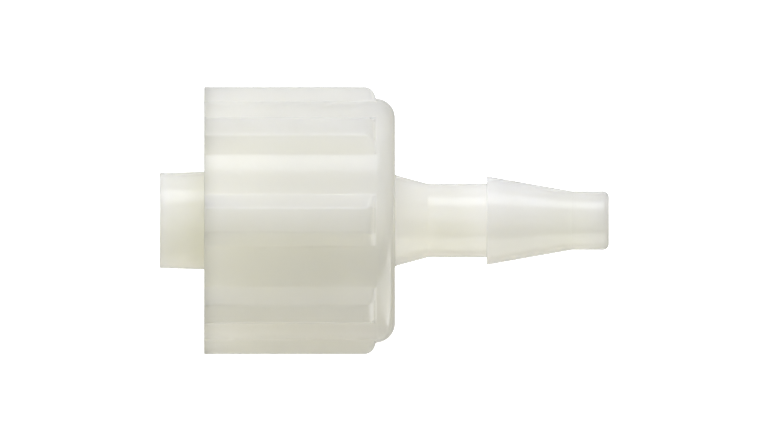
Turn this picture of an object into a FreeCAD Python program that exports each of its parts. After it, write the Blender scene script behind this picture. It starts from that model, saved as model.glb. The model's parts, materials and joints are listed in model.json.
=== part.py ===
import FreeCAD, Part
import math
import os

# Male luer lock fitting with a hose barb, moulded in one piece from a natural plastic.
# A tapered luer cone stands inside a lock collar with a two-start thread, grip ribs run along
# the collar, and a single barb for soft tubing follows behind its closed end.
# All sizes are in millimetres.

# Luer cone
luer_tip_d = 4.0
luer_taper = 0.06            # gain of diameter for each unit of length
luer_protrusion = 1.87       # how far the cone stands out of the collar's mouth
luer_tip_round = 0.05
luer_root_round = 0.3
luer_bore_d = 2.2

# Lock collar
collar_length = 8.03
collar_d = 10.27             # over the valleys between the ribs
shoulder_round = 0.825
closed_end_thickness = 1.53
cavity_d = 8.0               # also the root of the lock thread
cavity_floor_round = 0.25

# Grip ribs
rib_count = 8
rib_height = 0.482
rib_tip_width = 1.035        # across the rib's sharp corners
rib_flank_angle = 45.0       # from the rib's middle plane
rib_tip_round = 0.2
rib_root_round = 0.2
rib_bite = 0.3               # how deep a rib is sunk into the collar before they are joined

# Lock thread, right-handed
thread_starts = 2
thread_lead = 5.0            # advance of one start in a full turn
thread_crest_d = 7.0
thread_crest_width = 0.5
thread_flank_angle = 25.0
thread_mouth_gap = 0.35      # plain wall between the mouth and the thread
thread_floor_gap = 0.45      # plain wall between the thread and the cavity's floor
thread_lead_in_angle = 45.0
thread_bite = 0.25

# Hose barb
flare_d = 3.84
flare_length = 1.375
neck_d = 3.096
neck_length = 2.49
barb_d = 3.73
barb_taper_length = 3.57
pilot_d = 2.465
pilot_length = 1.56
pilot_round = 0.24
barb_bore_d = 1.65
bore_step_length = 0.4       # cone that leads from the wide bore to the narrow one

# Stations along the axis, counted from the collar's mouth towards the barb
luer_tip_x = -luer_protrusion
cavity_floor_x = collar_length - closed_end_thickness
flare_end_x = collar_length + flare_length
barb_x = flare_end_x + neck_length
taper_end_x = barb_x + barb_taper_length
barb_end_x = taper_end_x + pilot_length

# Radii that several features share
collar_r = collar_d / 2
rib_r = collar_r + rib_height
cavity_r = cavity_d / 2
rib_pitch_angle = 360.0 / rib_count

ORIGIN = FreeCAD.Vector(0, 0, 0)
AXIS = FreeCAD.Vector(1, 0, 0)


def luer_radius(x):
    """Radius of the cone at a station along the axis."""
    return luer_tip_d / 2 + luer_taper / 2 * (x - luer_tip_x)


def corner(x, r, rounding=0.0):
    return FreeCAD.Vector(x, 0, r), rounding


def rounded_outline(corners):
    """Closed wire through the corners, with a tangent arc at each corner that has a rounding."""
    stretches = []
    for i, (point, rounding) in enumerate(corners):
        before = corners[i - 1][0]
        after = corners[(i + 1) % len(corners)][0]
        to_before = (before - point).normalize()
        to_after = (after - point).normalize()
        half_angle = to_before.getAngle(to_after) / 2
        reach = rounding / math.tan(half_angle)
        bisector = (to_before + to_after).normalize()
        middle = point + bisector * (rounding / math.sin(half_angle) - rounding)
        stretches.append((point + to_before * reach, middle, point + to_after * reach, rounding))
    edges = []
    for i, (start, middle, end, rounding) in enumerate(stretches):
        if rounding > 0:
            edges.append(Part.Arc(start, middle, end).toShape())
        following = stretches[(i + 1) % len(stretches)][0]
        edges.append(Part.LineSegment(end, following).toShape())
    return Part.Wire(edges)


def revolved(corners):
    return Part.Face(rounded_outline(corners)).revolve(ORIGIN, AXIS, 360)


def turned_body():
    """Everything that is round about the axis: cone, collar, cavity, barb and the bore through them."""
    luer_bore_r = luer_bore_d / 2
    barb_bore_r = barb_bore_d / 2
    pilot_r = pilot_d / 2
    return revolved([
        corner(luer_tip_x, luer_bore_r),
        corner(luer_tip_x, luer_radius(luer_tip_x), luer_tip_round),
        corner(cavity_floor_x, luer_radius(cavity_floor_x), luer_root_round),
        corner(cavity_floor_x, cavity_r, cavity_floor_round),
        corner(0, cavity_r),
        corner(0, collar_r),
        corner(collar_length, collar_r, shoulder_round),
        corner(collar_length, flare_d / 2),
        corner(flare_end_x, neck_d / 2),
        corner(barb_x, neck_d / 2),
        corner(barb_x, barb_d / 2),
        corner(taper_end_x, pilot_r),
        corner(barb_end_x, pilot_r, pilot_round),
        corner(barb_end_x, barb_bore_r),
        corner(cavity_floor_x + bore_step_length, barb_bore_r),
        corner(cavity_floor_x, luer_bore_r),
    ])


def flank_directions():
    """Unit vectors of a rib's right flank, across the rib and outwards: along it, and square to it."""
    angle = math.radians(rib_flank_angle)
    down_the_flank = FreeCAD.Vector(0, math.sin(angle), -math.cos(angle))
    off_the_flank = FreeCAD.Vector(0, math.cos(angle), math.sin(angle))
    return down_the_flank, off_the_flank


def rib_sharp_corner():
    """Where the rib's land and its right flank would meet without a rounding."""
    half_width = rib_tip_width / 2
    return FreeCAD.Vector(0, half_width, math.sqrt(rib_r ** 2 - half_width ** 2))


def rounding_centre(offset, distance_from_axis):
    """Centre of a rounding that lies at this offset from the flank and this far from the axis."""
    along, off = flank_directions()
    start = rib_sharp_corner() + off * offset
    half_b = start.dot(along)
    c = start.dot(start) - distance_from_axis ** 2
    return start + along * (-half_b - math.sqrt(half_b ** 2 - c))


def mirrored(point):
    return FreeCAD.Vector(point.x, -point.y, point.z)


def rib_section():
    """Cross-section of the rib that points up: a land, two slanted flanks and their roundings."""
    _, off = flank_directions()
    tip_centre = rounding_centre(-rib_tip_round, rib_r - rib_tip_round)
    root_centre = rounding_centre(rib_root_round, collar_r + rib_root_round)

    land_end = tip_centre * (rib_r / (rib_r - rib_tip_round))
    flank_top = tip_centre + off * rib_tip_round
    tip_middle = tip_centre + (land_end + flank_top - tip_centre * 2).normalize() * rib_tip_round
    flank_foot = root_centre - off * rib_root_round
    root_end = root_centre * (collar_r / (collar_r + rib_root_round))
    root_middle = root_centre + (flank_foot + root_end - root_centre * 2).normalize() * rib_root_round
    sunk_end = root_end * ((collar_r - rib_bite) / collar_r)

    half = [
        Part.Arc(land_end, tip_middle, flank_top).toShape(),
        Part.LineSegment(flank_top, flank_foot).toShape(),
        Part.Arc(flank_foot, root_middle, root_end).toShape(),
        Part.LineSegment(root_end, sunk_end).toShape(),
    ]
    other_half = [
        Part.LineSegment(mirrored(sunk_end), mirrored(root_end)).toShape(),
        Part.Arc(mirrored(root_end), mirrored(root_middle), mirrored(flank_foot)).toShape(),
        Part.LineSegment(mirrored(flank_foot), mirrored(flank_top)).toShape(),
        Part.Arc(mirrored(flank_top), mirrored(tip_middle), mirrored(land_end)).toShape(),
    ]
    floor = Part.LineSegment(sunk_end, mirrored(sunk_end)).toShape()
    land = Part.Arc(mirrored(land_end), FreeCAD.Vector(0, 0, rib_r), land_end).toShape()
    return Part.Face(Part.Wire(half + [floor] + other_half + [land]))


def rib_envelope():
    """Round space that the ribs fill, with a quarter round that ends them where the shoulder starts."""
    rib_end_x = collar_length - shoulder_round
    inner_r = collar_r - 2 * rib_bite
    envelope = revolved([
        corner(0, inner_r),
        corner(0, rib_r),
        corner(rib_end_x, rib_r, rib_height),
        corner(rib_end_x, inner_r),
    ])
    # The seam goes to the far side, so that it doesn't split the rib's land
    envelope.rotate(ORIGIN, AXIS, 180)
    return envelope


def grip_ribs():
    """The ribs, spaced so that the lowest two lie side by side on the surface below."""
    first = rib_section().extrude(AXIS * collar_length).common(rib_envelope())
    ribs = []
    for i in range(rib_count):
        rib = first.copy()
        rib.rotate(ORIGIN, AXIS, (i + 0.5) * rib_pitch_angle + 180)
        ribs.append(rib)
    return ribs


def thread_zone():
    """Ring that the thread stays in, with a cone at the mouth that leads the mating lugs in."""
    start_x = thread_mouth_gap
    end_x = cavity_floor_x - thread_floor_gap
    inner_r = thread_crest_d / 2 - thread_bite
    outer_r = cavity_r + 2 * thread_bite
    lead_in = (cavity_r - inner_r) * math.tan(math.radians(thread_lead_in_angle))
    return revolved([
        corner(start_x, cavity_r),
        corner(start_x + lead_in, inner_r),
        corner(end_x, inner_r),
        corner(end_x, outer_r),
        corner(start_x, outer_r),
    ])


def thread_ridge():
    """One start of the lock thread: its section swept along a right-handed helix about Z."""
    run = cavity_floor_x + 2 * thread_lead
    crest_r = thread_crest_d / 2
    root_r = cavity_r + thread_bite
    half_crest = thread_crest_width / 2
    half_root = half_crest + (root_r - crest_r) * math.tan(math.radians(thread_flank_angle))
    section = Part.makePolygon([
        FreeCAD.Vector(crest_r, 0, -half_crest),
        FreeCAD.Vector(crest_r, 0, half_crest),
        FreeCAD.Vector(root_r, 0, half_root),
        FreeCAD.Vector(root_r, 0, -half_root),
        FreeCAD.Vector(crest_r, 0, -half_crest),
    ])
    path = Part.Wire(Part.makeHelix(thread_lead, run, cavity_r))
    return path.makePipeShell([section], True, True)


def lock_thread():
    """All starts, turned onto the fitting's axis and trimmed to the cavity's wall."""
    zone = thread_zone()
    starts = []
    for i in range(thread_starts):
        ridge = thread_ridge()
        ridge.rotate(ORIGIN, FreeCAD.Vector(0, 0, 1), i * 360.0 / thread_starts)
        ridge.rotate(ORIGIN, FreeCAD.Vector(0, 1, 0), 90)
        ridge.translate(AXIS * -thread_lead)
        starts.append(ridge.common(zone))
    return starts


def axis_height():
    """Height of the axis when two neighbouring ribs rest on the surface on their rounded corners."""
    centre = rounding_centre(-rib_tip_round, rib_r - rib_tip_round)
    corner_angle = math.atan2(centre.y, centre.z)
    off_vertical = math.radians(rib_pitch_angle / 2) - corner_angle
    return (rib_r - rib_tip_round) * math.cos(off_vertical) + rib_tip_round


def luer_lock_fitting():
    fitting = turned_body().fuse(grip_ribs() + lock_thread())
    fitting.translate(FreeCAD.Vector(-(luer_tip_x + barb_end_x) / 2, 0, axis_height()))
    return fitting


os.makedirs("parts", exist_ok=True)
fitting = luer_lock_fitting()
fitting.exportStep("parts/luer_fitting.step")
box = fitting.optimalBoundingBox()
print("solids", len(fitting.Solids), "valid", fitting.isValid(), "volume mm3", round(fitting.Volume, 2))
print("length", round(box.XLength, 2), "width", round(box.YLength, 2), "height", round(box.ZLength, 2))
print("axis height", round(axis_height(), 4))
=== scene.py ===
# %% [markdown]
# # A male luer lock fitting in natural plastic
#
# The real object is one injection moulding, 19 mm long: a tapered luer cone inside a ribbed lock
# collar, and a hose barb behind the collar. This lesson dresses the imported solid. First the packed
# model is loaded as a fixed frame, so that everything is built in metres, where the solid says.

import json
import math

import bmesh
import bpy
from mathutils import Matrix, Vector


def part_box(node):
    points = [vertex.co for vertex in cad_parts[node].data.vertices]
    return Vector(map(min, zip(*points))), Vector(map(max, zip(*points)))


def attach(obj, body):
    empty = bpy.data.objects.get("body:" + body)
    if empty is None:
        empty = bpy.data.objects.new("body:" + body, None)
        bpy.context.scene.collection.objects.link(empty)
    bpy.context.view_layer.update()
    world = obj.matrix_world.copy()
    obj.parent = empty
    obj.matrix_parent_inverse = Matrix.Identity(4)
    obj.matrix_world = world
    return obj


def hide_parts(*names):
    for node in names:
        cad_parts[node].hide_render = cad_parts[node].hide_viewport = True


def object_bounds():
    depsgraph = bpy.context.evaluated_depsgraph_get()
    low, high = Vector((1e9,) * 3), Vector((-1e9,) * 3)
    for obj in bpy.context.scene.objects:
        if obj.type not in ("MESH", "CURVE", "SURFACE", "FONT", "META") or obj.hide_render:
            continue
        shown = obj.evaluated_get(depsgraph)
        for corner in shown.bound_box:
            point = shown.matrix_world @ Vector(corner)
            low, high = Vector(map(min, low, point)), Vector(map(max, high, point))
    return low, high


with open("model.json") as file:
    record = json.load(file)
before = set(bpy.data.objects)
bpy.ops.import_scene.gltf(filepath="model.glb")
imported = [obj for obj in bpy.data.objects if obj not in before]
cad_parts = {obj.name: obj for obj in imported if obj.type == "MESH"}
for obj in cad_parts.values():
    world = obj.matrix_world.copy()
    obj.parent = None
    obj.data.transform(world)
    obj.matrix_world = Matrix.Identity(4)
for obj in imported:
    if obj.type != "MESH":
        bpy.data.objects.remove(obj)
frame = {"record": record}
cad_low, cad_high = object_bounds()
solid_low, solid_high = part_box("luer_fitting")
mounts = {mount["name"]: mount for mount in frame["record"]["mounts"]}
print("the solid's size in mm:", [round(1000 * side, 3) for side in solid_high - solid_low])

# %% [markdown]
# The frame also says where the features are. The mounts give the stations along the axis: the tip of
# the cone, the mouth of the collar and the edge of the barb. Sizes are easier to read in millimetres,
# so the piece is modelled in millimetres about the X axis, with the collar's mouth at zero, and moved
# to its place at the end.

# %% Read the stations from the frame
MM = 0.001
axis_height = mounts["luer_cone"]["pos_m"][2] / MM
mouth_in_frame = mounts["lock_thread"]["pos_m"][0] / MM


def station(name):
    """Where a mount lies along the axis, in mm from the collar's mouth."""
    return mounts[name]["pos_m"][0] / MM - mouth_in_frame


luer_tip_x = station("luer_cone")
barb_x = station("hose_barb")
barb_end_x = solid_high.x / MM - mouth_in_frame
luer_tip_r = mounts["luer_cone"]["dims"]["r_mm"]
barb_r = mounts["hose_barb"]["dims"]["r_mm"]
pilot_r = mounts["barb_pilot"]["dims"]["r_mm"]
luer_bore_r = mounts["luer_bore"]["dims"]["r_mm"]
barb_bore_r = mounts["barb_bore"]["dims"]["r_mm"]
thread_crest_r = mounts["lock_thread"]["dims"]["r_mm"]
print("cone's tip", round(luer_tip_x, 3), "barb's edge", round(barb_x, 3), "end", round(barb_end_x, 3))

# %% [markdown]
# The camera comes first, because it decides what is worth modelling finely. The photograph was taken
# with a long lens from slightly above: its vertical edges are straight to a tenth of a pixel, so a
# camera without perspective fits it best. It looks down by half a rib's pitch, which puts one rib at
# the top of the outline and one in the middle of the collar. The scale comes from the fitting's
# length in pixels.

# %% Camera
IMAGE_WIDTH_PX, IMAGE_HEIGHT_PX = 768, 442
TIP_PX, END_PX, AXIS_PX = 159.65, 608.85, 220.55
RIB_COUNT = 8
camera_elevation = math.radians(180 / RIB_COUNT)
camera_distance = 0.25
metres_per_pixel = (solid_high.x - solid_low.x) / (END_PX - TIP_PX)

to_camera = Vector((0, -math.cos(camera_elevation), math.sin(camera_elevation)))
camera_up = Vector((0, math.sin(camera_elevation), math.cos(camera_elevation)))
right_of_centre = (TIP_PX + END_PX - IMAGE_WIDTH_PX) / 2 * metres_per_pixel
above_centre = (IMAGE_HEIGHT_PX / 2 - AXIS_PX) * metres_per_pixel
axis_middle = Vector(((solid_low.x + solid_high.x) / 2, 0, axis_height * MM))
picture_centre = axis_middle - Vector((right_of_centre, 0, 0)) - camera_up * above_centre

camera_data = bpy.data.cameras.new("camera")
camera_data.type = "ORTHO"
camera_data.ortho_scale = IMAGE_WIDTH_PX * metres_per_pixel
camera_data.clip_start = 0.001
camera_data.clip_end = 10
camera = bpy.data.objects.new("camera", camera_data)
bpy.context.scene.collection.objects.link(camera)
camera.location = picture_centre + to_camera * camera_distance
camera.rotation_euler = to_camera.to_track_quat("Z", "Y").to_euler()
bpy.context.scene.camera = camera
print("one pixel of the photograph is", round(metres_per_pixel / MM, 5), "mm")

# %% [markdown]
# The fitting is one closed skin, made of three strips of faces that meet on flat rings: a ribbed
# strip for the collar's outside, a threaded strip for its inside, and a lathe turned strip for the
# cone, the bore and the barb. The collar and the thread aren't round, so a lathe profile can't make
# them. There, a ring of edges walks along the axis instead: each step extrudes the last ring and puts
# the new one at its station. Every vertex keeps the radius of its own section in a layer, so that a
# step can hold the ring inside an envelope and the next one still knows the full form.

# %% Helpers that walk a ring along the axis
AXIS = (1, 0, 0)
ORIGIN = (0, 0, 0)


def remember_section(bm):
    """Keeps each vertex's distance from the axis in a layer, which its extruded copies inherit."""
    layer = bm.verts.layers.float.new("section_r")
    for vertex in bm.verts:
        vertex[layer] = vertex.co.yz.length


def section_less(section_r, r):
    return section_r - r


def section_or_smaller(section_r, r):
    return min(section_r, r)


def section_or_larger(section_r, r):
    return max(section_r, r)


def circle(section_r, r):
    return r


def placed(bm, vertices, station, pick_r, lead=0.0):
    """Moves a ring's vertices to a station (x, r), turning them like a screw where a lead is given."""
    layer = bm.verts.layers.float["section_r"]
    x, r = station
    if lead:
        turn = 2 * math.pi * (x - vertices[0].co.x) / lead
        bmesh.ops.rotate(bm, verts=vertices, cent=ORIGIN, matrix=Matrix.Rotation(turn, 3, "X"))
    for vertex in vertices:
        vertex.co.x = x
        vertex.co.yz = vertex.co.yz.normalized() * pick_r(vertex[layer], r)


def walked(bm, ring, stations, pick_r, lead=0.0):
    """Walks a ring of edges through stations (x, r) and returns the last ring."""
    for station in stations:
        made = bmesh.ops.extrude_edge_only(bm, edges=ring)["geom"]
        vertices = [item for item in made if isinstance(item, bmesh.types.BMVert)]
        edges = [item for item in made if isinstance(item, bmesh.types.BMEdge)]
        new = set(vertices)
        ring = [edge for edge in edges if new.issuperset(edge.verts)]
        placed(bm, vertices, station, pick_r, lead)
    return ring


def arc_stations(centre_x, centre_r, radius, start_deg, end_deg, steps, first=False):
    """Stations along an arc, by default without its first point. 0 points along +X and 90 outwards."""
    stations = []
    for step in range(0 if first else 1, steps + 1):
        angle = math.radians(start_deg + (end_deg - start_deg) * step / steps)
        stations.append((centre_x + radius * math.cos(angle), centre_r + radius * math.sin(angle)))
    return stations


def even_stations(start_x, end_x, start_r, end_r, steps):
    """Stations along a straight line, without its first point."""
    return [
        (start_x + (end_x - start_x) * step / steps, start_r + (end_r - start_r) * step / steps)
        for step in range(1, steps + 1)
    ]


# %% [markdown]
# A section starts as a few vertices in the plane of the mouth, on one side of its middle line. A
# vertex that is spun about the axis draws an arc, a vertex bevel rounds a corner, a mirror adds the
# other side, and a spin that duplicates sets the copies round the axis.

# %% Helpers that draw a section
MIDDLE_MERGE = 1e-5
COPY_MERGE = 1e-4


def on_section(bm, angle, r):
    return bm.verts.new((0, r * math.sin(angle), r * math.cos(angle)))


def arc_about_axis(bm, vertex, angle, steps):
    """Draws an arc from a vertex, clockwise as seen along the axis, and returns its last vertex."""
    made = bmesh.ops.spin(bm, geom=[vertex], cent=ORIGIN, axis=AXIS, angle=-angle, steps=steps)
    return next(item for item in made["geom_last"] if isinstance(item, bmesh.types.BMVert))


def rounded_corner(bm, vertex, radius, turn, segments):
    """Rounds a corner of the section, where the outline turns by this much."""
    reach = radius * math.tan(abs(turn) / 2)
    bmesh.ops.bevel(bm, geom=[vertex], offset=reach, offset_type="OFFSET", affect="VERTICES",
                    segments=segments, profile=0.5, material=-1)


def full_ring(bm, copies):
    """Mirrors the half section that starts straight up, sets its copies round and returns the ring."""
    bmesh.ops.mirror(bm, geom=bm.verts[:] + bm.edges[:], matrix=Matrix.Identity(4),
                     merge_dist=MIDDLE_MERGE, axis="Y")
    pitch = 2 * math.pi / copies
    bmesh.ops.spin(bm, geom=bm.verts[:] + bm.edges[:], cent=ORIGIN, axis=AXIS, angle=2 * math.pi - pitch,
                   steps=copies - 1, use_duplicate=True)
    bmesh.ops.remove_doubles(bm, verts=bm.verts[:], dist=COPY_MERGE)
    return bm.edges[:]


# %% [markdown]
# The collar's outside has eight grip ribs with smooth lands, 45 degree flanks and small roundings
# that catch the light as thin lines. The ribs run from the mouth to the shoulder, where a quarter
# round ends them, and a larger round closes the collar. A small hollow rounding joins the two, as a
# mould's cutter leaves it. Two ribs straddle straight down, so the ring is turned by half a pitch
# before it walks.

# %% The collar's ribbed outside
COLLAR_LENGTH = 8.03
COLLAR_R = 5.135
SHOULDER_ROUND = 0.825
RIB_HEIGHT = 0.482
RIB_TIP_WIDTH = 1.035
RIB_ROUND = 0.2
RIB_END_FOOT_ROUND = 0.1
RIB_FLANK = math.radians(45)
EDGE_ROUND = 0.05
SEAM_INSET = 3 * EDGE_ROUND
LAND_STEPS = 4
RIB_ROUND_STEPS = 5
RIB_ROOT_STEPS = 4
VALLEY_STEPS = 7
EDGE_STEPS = 3
RIB_LENGTH_STEPS = 16
RIB_END_STEPS = 10
RIB_END_FOOT_STEPS = 5
SHOULDER_STEPS = 16
rib_r = COLLAR_R + RIB_HEIGHT
half_pitch = math.pi / RIB_COUNT


def flank_foot_angle():
    """Where the flank, drawn on from the sharp corner of the land, meets the valley's circle."""
    corner = Vector((RIB_TIP_WIDTH / 2, math.sqrt(rib_r ** 2 - (RIB_TIP_WIDTH / 2) ** 2)))
    along = Vector((math.sin(RIB_FLANK), -math.cos(RIB_FLANK)))
    half_b = corner.dot(along)
    foot = corner + along * (-half_b - math.sqrt(half_b ** 2 - corner.length_squared + COLLAR_R ** 2))
    return math.atan2(foot.x, foot.y)


def ribbed_ring(bm):
    corner_angle = math.asin(RIB_TIP_WIDTH / 2 / rib_r)
    foot_angle = flank_foot_angle()
    land_corner = arc_about_axis(bm, on_section(bm, 0, rib_r), corner_angle, LAND_STEPS)
    flank_foot = on_section(bm, foot_angle, COLLAR_R)
    bm.edges.new((land_corner, flank_foot))
    arc_about_axis(bm, flank_foot, half_pitch - foot_angle, VALLEY_STEPS)
    rounded_corner(bm, land_corner, RIB_ROUND, RIB_FLANK - corner_angle, RIB_ROUND_STEPS)
    rounded_corner(bm, flank_foot, RIB_ROUND, RIB_FLANK - foot_angle, RIB_ROOT_STEPS)
    ring = full_ring(bm, RIB_COUNT)
    bmesh.ops.rotate(bm, verts=bm.verts[:], cent=ORIGIN, matrix=Matrix.Rotation(half_pitch, 3, "X"))
    return ring


def foot_between(end_centre, end_round, shoulder_centre, shoulder_round, foot_round):
    """The hollow rounding between two quarter rounds: its centre, start and end angle in degrees."""
    from_end = end_round + foot_round
    from_shoulder = shoulder_round + foot_round
    apart = shoulder_centre - end_centre
    along = (from_end ** 2 - from_shoulder ** 2 + apart.length_squared) / (2 * apart.length)
    off = math.sqrt(from_end ** 2 - along ** 2)
    direction = apart.normalized()
    centre = end_centre + direction * along + Vector((-direction.y, direction.x)) * off
    to_end = end_centre - centre
    to_shoulder = shoulder_centre - centre
    start = math.degrees(math.atan2(to_end.y, to_end.x)) % 360
    end = math.degrees(math.atan2(to_shoulder.y, to_shoulder.x)) % 360
    return centre, start, end


def collar_outside():
    """The strip from the mouth's outer edge to the foot of the shoulder."""
    bm = bmesh.new()
    ring = ribbed_ring(bm)
    remember_section(bm)
    placed(bm, bm.verts[:], (0, SEAM_INSET), section_less)
    edge = arc_stations(EDGE_ROUND, EDGE_ROUND, EDGE_ROUND, 180, 270, EDGE_STEPS, first=True)
    ring = walked(bm, ring, edge, section_less)
    rib_end = Vector((COLLAR_LENGTH - SHOULDER_ROUND - RIB_HEIGHT, COLLAR_R))
    shoulder = Vector((COLLAR_LENGTH - SHOULDER_ROUND, COLLAR_R - SHOULDER_ROUND))
    foot, foot_start, foot_end = foot_between(
        rib_end, RIB_HEIGHT, shoulder, SHOULDER_ROUND, RIB_END_FOOT_ROUND)
    stations = even_stations(EDGE_ROUND, rib_end.x, rib_r, rib_r, RIB_LENGTH_STEPS)
    stations += arc_stations(*rib_end, RIB_HEIGHT, 90, foot_start - 180, RIB_END_STEPS)
    stations += arc_stations(*foot, RIB_END_FOOT_ROUND, foot_start, foot_end, RIB_END_FOOT_STEPS)
    stations += arc_stations(*shoulder, SHOULDER_ROUND, foot_end - 180, 0, SHOULDER_STEPS)
    walked(bm, ring, stations, section_or_smaller)
    return bm


ribbed = collar_outside()
print("the collar's outside has", len(ribbed.faces), "faces")

# %% [markdown]
# Inside the collar two thread starts wind from the mouth towards the closed end. A cut square to the
# axis through such a thread always has the same form and only turns, so one ring with two crests,
# walked like a screw, makes the crests, flanks and roots as clean edges. Near the mouth the ring is
# held to a cone, which leads the mating lugs in, and a rounded corner joins the wall to the floor.

# %% The cavity's threaded wall
CAVITY_R = 4.0
CAVITY_FLOOR_X = 6.5
CAVITY_ROUND = 0.25
THREAD_STARTS = 2
THREAD_LEAD = 5.0
THREAD_CREST_WIDTH = 0.5
THREAD_FLANK = math.radians(25)
THREAD_MOUTH_GAP = 0.35
THREAD_FLOOR_GAP = 0.45
CREST_STEPS = 5
FLANK_CUTS = 4
ROOT_STEPS = 14
MOUTH_WALL_STEPS = 4
LEAD_IN_STEPS = 8
THREAD_STEPS = 80
CAVITY_ROUND_STEPS = 5


def thread_ring(bm):
    half_crest = THREAD_CREST_WIDTH / 2
    half_root = half_crest + (CAVITY_R - thread_crest_r) * math.tan(THREAD_FLANK)
    crest_angle = 2 * math.pi * half_crest / THREAD_LEAD
    root_angle = 2 * math.pi * half_root / THREAD_LEAD
    crest_corner = arc_about_axis(bm, on_section(bm, 0, thread_crest_r), crest_angle, CREST_STEPS)
    root_corner = on_section(bm, root_angle, CAVITY_R)
    flank = bm.edges.new((crest_corner, root_corner))
    arc_about_axis(bm, root_corner, math.pi / THREAD_STARTS - root_angle, ROOT_STEPS)
    bmesh.ops.subdivide_edges(bm, edges=[flank], cuts=FLANK_CUTS)
    return full_ring(bm, THREAD_STARTS)


def cavity_wall():
    """The strip from the mouth's inner edge to the floor of the cavity."""
    bm = bmesh.new()
    ring = thread_ring(bm)
    remember_section(bm)
    lead_in_end_x = THREAD_MOUTH_GAP + CAVITY_R - thread_crest_r
    zone_end_x = CAVITY_FLOOR_X - THREAD_FLOOR_GAP
    floor_corner_x = CAVITY_FLOOR_X - CAVITY_ROUND
    placed(bm, bm.verts[:], (0, CAVITY_R + SEAM_INSET), circle)
    mouth = arc_stations(EDGE_ROUND, CAVITY_R + EDGE_ROUND, EDGE_ROUND, 180, 270, EDGE_STEPS, first=True)
    mouth += even_stations(EDGE_ROUND, THREAD_MOUTH_GAP, CAVITY_R, CAVITY_R, MOUTH_WALL_STEPS)
    ring = walked(bm, ring, mouth, circle, lead=THREAD_LEAD)
    thread = even_stations(THREAD_MOUTH_GAP, lead_in_end_x, CAVITY_R, thread_crest_r, LEAD_IN_STEPS)
    thread += even_stations(lead_in_end_x, zone_end_x, thread_crest_r, thread_crest_r, THREAD_STEPS)
    ring = walked(bm, ring, thread, section_or_larger, lead=THREAD_LEAD)
    floor = [(zone_end_x, CAVITY_R), (floor_corner_x, CAVITY_R)]
    floor += arc_stations(floor_corner_x, CAVITY_R - CAVITY_ROUND, CAVITY_ROUND, 90, 0, CAVITY_ROUND_STEPS)
    walked(bm, ring, floor, circle)
    return bm


threaded = cavity_wall()
print("the cavity's wall has", len(threaded.faces), "faces")

# %% [markdown]
# The rest is round: the luer cone with its 6 percent taper, the bore that narrows behind it, and the
# hose barb. It is drawn as one profile of corners, as on a lathe drawing, from the cavity's floor
# round the cone's tip, through the bore and back along the outside of the barb. Each corner gets its
# rounding by a vertex bevel, and one full spin makes the skin.

# %% The turned cone, bore and barb
LUER_TAPER = 0.06
LUER_ROOT_ROUND = 0.3
BORE_STEP = 0.4
FLARE_R = 1.92
FLARE_LENGTH = 1.375
NECK_R = 1.548
TAPER_LENGTH = 3.57
PILOT_ROUND = 0.24
FOOT_ROUND = 0.1
BARB_EDGE_ROUND = 0.03
LARGE_ROUND = 0.2
LARGE_ROUND_STEPS = 6
SMALL_ROUND_STEPS = 3
LATHE_STEPS = 144

floor_seam_r = (CAVITY_R + luer_tip_r) / 2
end_seam_r = (FLARE_R + COLLAR_R) / 2
luer_root_r = luer_tip_r + LUER_TAPER / 2 * (CAVITY_FLOOR_X - luer_tip_x)
turned_corners = [
    (CAVITY_FLOOR_X, floor_seam_r, 0),
    (CAVITY_FLOOR_X, luer_root_r, LUER_ROOT_ROUND),
    (luer_tip_x, luer_tip_r, EDGE_ROUND),
    (luer_tip_x, luer_bore_r, EDGE_ROUND),
    (CAVITY_FLOOR_X, luer_bore_r, FOOT_ROUND),
    (CAVITY_FLOOR_X + BORE_STEP, barb_bore_r, FOOT_ROUND),
    (barb_end_x, barb_bore_r, EDGE_ROUND),
    (barb_end_x, pilot_r, PILOT_ROUND),
    (barb_x + TAPER_LENGTH, pilot_r, FOOT_ROUND),
    (barb_x, barb_r, BARB_EDGE_ROUND),
    (barb_x, NECK_R, EDGE_ROUND),
    (COLLAR_LENGTH + FLARE_LENGTH, NECK_R, FOOT_ROUND),
    (COLLAR_LENGTH, FLARE_R, FOOT_ROUND),
    (COLLAR_LENGTH, end_seam_r, 0),
]


def lathe_profile(bm, corners):
    """A chain of edges through the corners (x, r, rounding), drawn straight up from the axis."""
    vertices = [bm.verts.new((x, 0, r)) for x, r, rounding in corners]
    for start, end in zip(vertices, vertices[1:]):
        bm.edges.new((start, end))
    turns = [
        (corner.co - before.co).angle(after.co - corner.co)
        for before, corner, after in zip(vertices, vertices[1:], vertices[2:])
    ]
    for vertex, turn, (x, r, rounding) in zip(vertices[1:-1], turns, corners[1:-1]):
        steps = LARGE_ROUND_STEPS if rounding > LARGE_ROUND else SMALL_ROUND_STEPS
        rounded_corner(bm, vertex, rounding, turn, steps)


def turned_part():
    bm = bmesh.new()
    lathe_profile(bm, turned_corners)
    bmesh.ops.spin(bm, geom=bm.verts[:] + bm.edges[:], cent=ORIGIN, axis=AXIS, angle=2 * math.pi,
                   steps=LATHE_STEPS, use_merge=True)
    return bm


turned = turned_part()
print("the turned part has", len(turned.faces), "faces")

# %% [markdown]
# The three strips now go into one mesh. Their open edges lie on three flat rings: the collar's mouth,
# the cavity's floor and the collar's closed end. Bridging the two loops on each ring closes the skin,
# and no seam shows, because the faces there are flat. Faces are shaded smooth across an edge, apart
# from the few edges that turn sharply, at the thread. The mesh is then moved from its millimetre
# drawing to the solid's place in the frame.

# %% Join the strips into one skin
FLAT_TOLERANCE = 1e-4
SHARP_TURN = math.radians(35)


def joined(strips):
    """One bmesh that holds all the strips. The strips are freed."""
    whole = bmesh.new()
    carrier = bpy.data.meshes.new("carrier")
    for strip in strips:
        strip.to_mesh(carrier)
        whole.from_mesh(carrier)
        strip.free()
    bpy.data.meshes.remove(carrier)
    return whole


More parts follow.
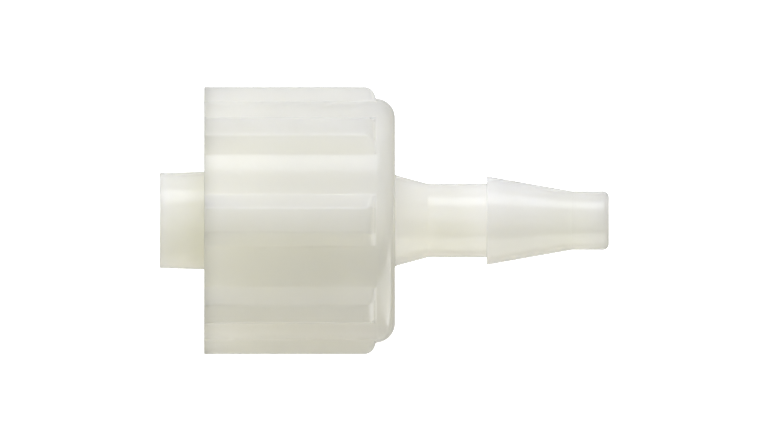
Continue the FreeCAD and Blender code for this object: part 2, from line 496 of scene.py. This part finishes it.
def close_flat_ring(bm, x):
    """Bridges the two open loops that lie in the plane at x."""
    open_edges = [edge for edge in bm.edges if edge.is_boundary]
    loops = [edge for edge in open_edges if all(abs(v.co.x - x) < FLAT_TOLERANCE for v in edge.verts)]
    bmesh.ops.bridge_loops(bm, edges=loops)


skin = joined([ribbed, threaded, turned])
for flat_x in (0, CAVITY_FLOOR_X, COLLAR_LENGTH):
    close_flat_ring(skin, flat_x)
bmesh.ops.recalc_face_normals(skin, faces=skin.faces[:])
for face in skin.faces:
    face.smooth = True
for edge in skin.edges:
    edge.smooth = edge.calc_face_angle(0) < SHARP_TURN

into_frame = Matrix.Translation((mouth_in_frame * MM, 0, axis_height * MM)) @ Matrix.Scale(MM, 4)
bmesh.ops.transform(skin, matrix=into_frame, verts=skin.verts[:])
open_edges = sum(not edge.is_manifold for edge in skin.edges)
print("the skin has", len(skin.faces), "faces,", open_edges, "open edges and encloses",
      round(skin.calc_volume() / MM ** 3, 1), "mm3")

# %% [markdown]
# The fitting is moulded in natural, unpigmented plastic. It is milky: light enters, scatters for a
# millimetre or two and comes out softened, a little yellow where its way was long. Painting that as a
# colour would look chalky, so the shader scatters light below the surface. The formulas are easier to
# read as expressions, so a small class wraps a node's output and adds Math nodes for its operators.

# %% Helpers for shader formulas
class Value:
    """A node's output on which arithmetic adds Math nodes."""

    def __init__(self, graph, socket):
        self.graph = graph
        self.socket = socket

    def math(self, operation, first, second):
        sockets = {"Value": first, "Value_001": second}
        return self.graph.add("ShaderNodeMath", {"operation": operation}, sockets)

    def __add__(self, other):
        return self.math("ADD", self, other)

    def __radd__(self, other):
        return self.math("ADD", other, self)

    def __sub__(self, other):
        return self.math("SUBTRACT", self, other)

    def __rsub__(self, other):
        return self.math("SUBTRACT", other, self)

    def __mul__(self, other):
        return self.math("MULTIPLY", self, other)

    def __rmul__(self, other):
        return self.math("MULTIPLY", other, self)


class Graph:
    """The node tree of one material, or of the world."""

    def __init__(self, owner):
        owner.use_nodes = True
        self.nodes = owner.node_tree.nodes
        self.links = owner.node_tree.links
        self.nodes.clear()

    def add(self, kind, settings, sockets, output=None):
        """Adds a node, applies its settings, then sets or links its sockets, which go by identifier."""
        node = self.nodes.new(kind)
        for name, value in settings.items():
            setattr(node, name, value)
        inputs = {socket.identifier: socket for socket in node.inputs}
        for name, value in sockets.items():
            if isinstance(value, Value):
                self.links.new(value.socket, inputs[name])
            else:
                inputs[name].default_value = value
        outputs = {socket.identifier: socket for socket in node.outputs}
        return Value(self, outputs[output] if output else next(iter(outputs.values()), None))

    def blend(self, factor, first, second):
        sockets = {"Factor_Float": factor, "A_Color": first, "B_Color": second}
        return self.add("ShaderNodeMix", {"data_type": "RGBA"}, sockets, "Result_Color")

    def step(self, value, start, end):
        """A soft step from 0 at the start to 1 at the end."""
        sockets = {"Value": value, "From Min": start, "From Max": end}
        return self.add("ShaderNodeMapRange", {"interpolation_type": "SMOOTHSTEP"}, sockets, "Result")

    def noise(self, where, scale, detail, roughness):
        sockets = {"Vector": where, "Scale": scale, "Detail": detail, "Roughness": roughness}
        return self.add("ShaderNodeTexNoise", {}, sockets, "Fac")


# %% [markdown]
# Three things vary over the surface. The plastic's colour also carries painted light and shade in
# place of the way light travels through the milky plastic: painted shade on the collar, darker at its
# mouth where the dark cavity lies behind the wall, on the barb and more on the thin pilot, and painted
# light on the cone and more at its tip, where light comes in at the end. Soft steps along the axis and
# away from it blend them. The resin isn't quite even, so its tint also drifts a little over a few
# millimetres. And the steel mould was polished by hand, which leaves the gloss a little uneven and the
# surface faintly grained. All are small: the eye should read clean plastic. Scales are per metre,
# because the object's own coordinates are metres.

# %% Natural plastic
# The plastic's tints with painted light and shade in them: painted shade on the collar, its mouth, the
# barb and the pilot, painted light on the cone and its tip.
LUER_TINT_AND_LIGHT = (0.885, 0.885, 0.86, 1.0)
TIP_TINT_AND_LIGHT = (0.955, 0.955, 0.94, 1.0)
MOUTH_TINT_AND_SHADE = (0.735, 0.733, 0.69, 1.0)
BARB_TINT_AND_SHADE = (0.785, 0.785, 0.79, 1.0)
PILOT_TINT_AND_SHADE = (0.735, 0.735, 0.71, 1.0)
COLLAR_TINT_AND_SHADE = (0.777, 0.775, 0.747, 1.0)
CLOUD_TINT = (0.975, 0.97, 0.95, 1.0)
CLOUD_SCALE = 230.0
CLOUD_CONTRAST = 1.6
CLOUD_OFFSET = 0.3
POLISH_SCALE = 1400.0
GRAIN_SCALE = 9000.0
ROUGH_BASE = 0.12
ROUGH_VARIATION = 0.06
BUMP_STRENGTH = 0.09
BUMP_DEPTH = 0.04 * MM
PLASTIC_IOR = 1.49
SCATTER_SCALE = 0.0055
SCATTER_RADIUS = (1.0, 0.97, 0.72)
BARB_TO_PILOT_R = (1.6 * MM, 1.2 * MM)
BARB_TO_COLLAR_R = (2.3 * MM, 4.3 * MM)
BARB_TO_LUER_X = (-1 * MM, -4 * MM)
TIP_X = (solid_low.x + 0.6 * MM, solid_low.x)
MOUTH_X = ((mouth_in_frame + 0.7) * MM, mouth_in_frame * MM)


def natural_plastic():
    material = bpy.data.materials.new("natural_plastic")
    graph = Graph(material)
    where = graph.add("ShaderNodeTexCoord", {}, {}, "Object")
    cloud = graph.noise(where, CLOUD_SCALE, detail=3.0, roughness=0.55)
    grain = graph.noise(where, GRAIN_SCALE, detail=2.0, roughness=0.6)
    polish = graph.noise(where, POLISH_SCALE, detail=3.0, roughness=0.5)
    off_axis = graph.add("ShaderNodeVectorMath", {"operation": "MULTIPLY_ADD"}, {
        "Vector": where,
        "Vector_001": (0.0, 1.0, 1.0),
        "Vector_002": (0.0, 0.0, -axis_height * MM),
    })
    from_axis = graph.add("ShaderNodeVectorMath", {"operation": "LENGTH"}, {"Vector": off_axis}, "Value")
    along_axis = graph.add("ShaderNodeSeparateXYZ", {}, {"Vector": where}, "X")
    narrow = graph.step(from_axis, *BARB_TO_PILOT_R)
    wide = graph.step(from_axis, *BARB_TO_COLLAR_R)
    luer = graph.step(along_axis, *BARB_TO_LUER_X)
    tip = graph.step(along_axis, *TIP_X)
    mouth = graph.step(along_axis, *MOUTH_X)
    # Blending these regions paints light and shade into the plastic's colour.
    tint_light_and_shade = graph.blend(narrow, BARB_TINT_AND_SHADE, PILOT_TINT_AND_SHADE)
    tint_light_and_shade = graph.blend(luer, tint_light_and_shade, graph.blend(tip, LUER_TINT_AND_LIGHT, TIP_TINT_AND_LIGHT))
    tint_light_and_shade = graph.blend(wide, tint_light_and_shade, graph.blend(mouth, COLLAR_TINT_AND_SHADE, MOUTH_TINT_AND_SHADE))
    cloudy = graph.add("ShaderNodeMix", {"data_type": "RGBA", "blend_type": "MULTIPLY"}, {
        "Factor_Float": cloud * CLOUD_CONTRAST - CLOUD_OFFSET,
        "A_Color": tint_light_and_shade,
        "B_Color": CLOUD_TINT,
    }, "Result_Color")
    normal = graph.add("ShaderNodeBump", {}, {
        "Strength": BUMP_STRENGTH,
        "Distance": BUMP_DEPTH,
        "Height": grain * 0.5 + polish * 0.5,
    }, "Normal")
    surface = graph.add("ShaderNodeBsdfPrincipled", {"subsurface_method": "BURLEY"}, {
        "Base Color": cloudy,
        "Roughness": polish * ROUGH_VARIATION + ROUGH_BASE,
        "IOR": PLASTIC_IOR,
        "Subsurface Weight": 1.0,
        "Subsurface Radius": SCATTER_RADIUS,
        "Subsurface Scale": SCATTER_SCALE,
        "Normal": normal,
    })
    graph.add("ShaderNodeOutputMaterial", {}, {"Surface": surface})
    return material


plastic = natural_plastic()
print("the plastic has", len(plastic.node_tree.nodes), "nodes")

# %% [markdown]
# The skin becomes an object that takes the solid's place and rides with it. Weighted normals keep the
# large faces flat in the light and leave the turn to the small roundings between them.

# %% The dressed fitting
LARGE_FACE_WEIGHT = 60

mesh = bpy.data.meshes.new("fitting_skin")
skin.to_mesh(mesh)
skin.free()
fitting = bpy.data.objects.new("fitting_skin", mesh)
bpy.context.scene.collection.objects.link(fitting)
fitting.data.materials.append(plastic)
weighted = fitting.modifiers.new("weighted_normals", "WEIGHTED_NORMAL")
weighted.keep_sharp = True
weighted.weight = LARGE_FACE_WEIGHT

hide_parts("luer_fitting")
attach(fitting, "root")
print("the skin's box in mm:", [round(1000 * side, 3) for side in fitting.dimensions])

# %% [markdown]
# The photograph has a white ground and one soft light overhead, a little to the front. Its reflection
# is the bright band that runs along the collar, the neck and the barb, and it is narrow enough to miss
# the flank of the middle rib. The rest of the light is a soft surround, made of a few wide lobes in
# the world: cool from above, warmer from the front and the sides, bright from straight below and dim
# from the front below. The floor is only there to be looked at, and is kept out of the light that
# reaches the plastic, or it would wash out the shade. A small pale card below the barb shows in its
# gloss alone, as the bright ground does in the photograph.

# %% Floor, surround and softbox
PALE = (0.9, 0.9, 0.9, 1.0)
FLOOR_SIZE = 4.0
FLOOR_GLOW = 0.8
FLOOR_GAP = 0.01 * MM
CARD_LENGTH = 0.03
CARD_DEPTH = 0.009
CARD_CENTRE = (0.0165, -0.0065)
CARD_GLOW = 1.7
CARD_GAP = 0.05 * MM
SOFTBOX_HEIGHT = 0.30
SOFTBOX_FORWARD = 0.025
SOFTBOX_LENGTH = 0.19
SOFTBOX_WIDTH = 0.17
SOFTBOX_POWER = 0.29
SOFTBOX_COLOUR = (0.92, 0.95, 1.0)
LOBE_POWER = 3.0

# The direction of each lobe's middle, and its colour
LOBES = {
    "front top": ((0, -0.5, 0.866), (0.65, 0.65, 0.72)),
    "front": ((0, -0.927, 0.375), (0.55, 0.54, 0.44)),
    "front below": ((0, -0.643, -0.766), (0.28, 0.28, 0.225)),
    "below": ((0, 0, -1), (0.95, 0.92, 0.91)),
    "back": ((0, 0.966, -0.259), (0.52, 0.52, 0.48)),
    "back top": ((0, 0.643, 0.766), (0.53, 0.53, 0.57)),
    "right": ((0.966, 0, 0.259), (0.52, 0.50, 0.45)),
    "left": ((-0.966, 0, 0.259), (0.45, 0.45, 0.43)),
    "right below": ((0.819, 0, -0.574), (0.18, 0.18, 0.15)),
}


def matte(name, glow):
    material = bpy.data.materials.new(name)
    graph = Graph(material)
    surface = graph.add("ShaderNodeBsdfPrincipled", {}, {
        "Base Color": PALE,
        "Roughness": 0.9,
        "Specular IOR Level": 0.0,
        "Emission Color": (1.0, 1.0, 1.0, 1.0),
        "Emission Strength": glow,
    })
    graph.add("ShaderNodeOutputMaterial", {}, {"Surface": surface})
    return material


def sheet(name, length, depth, centre, glow):
    """A level glowing sheet that throws no light on the plastic."""
    grid = bmesh.new()
    bmesh.ops.create_grid(grid, x_segments=1, y_segments=1, size=0.5)
    bmesh.ops.scale(grid, vec=(length, depth, 1), verts=grid.verts[:])
    sheet_mesh = bpy.data.meshes.new(name)
    grid.to_mesh(sheet_mesh)
    grid.free()
    made = bpy.data.objects.new(name, sheet_mesh)
    made.data.materials.append(matte(name, glow))
    made.location = centre
    made.visible_diffuse = False
    made.visible_transmission = False
    made.visible_shadow = False
    bpy.context.scene.collection.objects.link(made)
    return made


def floor_and_card():
    """The floor that only the camera sees, and just under it the card that only gloss shows."""
    floor_z = cad_low.z - FLOOR_GAP
    floor = sheet("floor", FLOOR_SIZE, FLOOR_SIZE, (0, 0, floor_z), FLOOR_GLOW)
    floor.visible_glossy = False
    card = sheet("card", CARD_LENGTH, CARD_DEPTH, (*CARD_CENTRE, floor_z - CARD_GAP), CARD_GLOW)
    card.visible_camera = False


def softbox():
    data = bpy.data.lights.new("softbox", "AREA")
    data.shape = "RECTANGLE"
    data.size = SOFTBOX_LENGTH
    data.size_y = SOFTBOX_WIDTH
    data.energy = SOFTBOX_POWER
    data.color = SOFTBOX_COLOUR
    light = bpy.data.objects.new("softbox", data)
    light.location = (0, -SOFTBOX_FORWARD, SOFTBOX_HEIGHT)
    bpy.context.scene.collection.objects.link(light)


def surround():
    """The world's light: each lobe is its colour times the cosine from its middle, to a power."""
    world = bpy.data.worlds.new("surround")
    graph = Graph(world)
    toward = graph.add("ShaderNodeTexCoord", {}, {}, "Generated")
    light = None
    for direction, colour in LOBES.values():
        middle = Vector(direction).normalized()
        sockets = {"Vector": toward, "Vector_001": middle}
        cosine = graph.add("ShaderNodeVectorMath", {"operation": "DOT_PRODUCT"}, sockets, "Value")
        facing = cosine.math("MAXIMUM", cosine, 0.0)
        lobe = facing.math("POWER", facing, LOBE_POWER)
        part = graph.add("ShaderNodeVectorMath", {"operation": "SCALE"}, {"Vector": colour, "Scale": lobe})
        if light is None:
            light = part
        else:
            sockets = {"Vector": light, "Vector_001": part}
            light = graph.add("ShaderNodeVectorMath", {"operation": "ADD"}, sockets)
    background = graph.add("ShaderNodeBackground", {}, {"Color": light, "Strength": 1.0})
    graph.add("ShaderNodeOutputWorld", {}, {"Surface": background})
    bpy.context.scene.world = world


floor_and_card()
softbox()
surround()
bpy.context.scene.view_settings.view_transform = "Standard"
print("lights:", [item.name for item in bpy.data.lights])
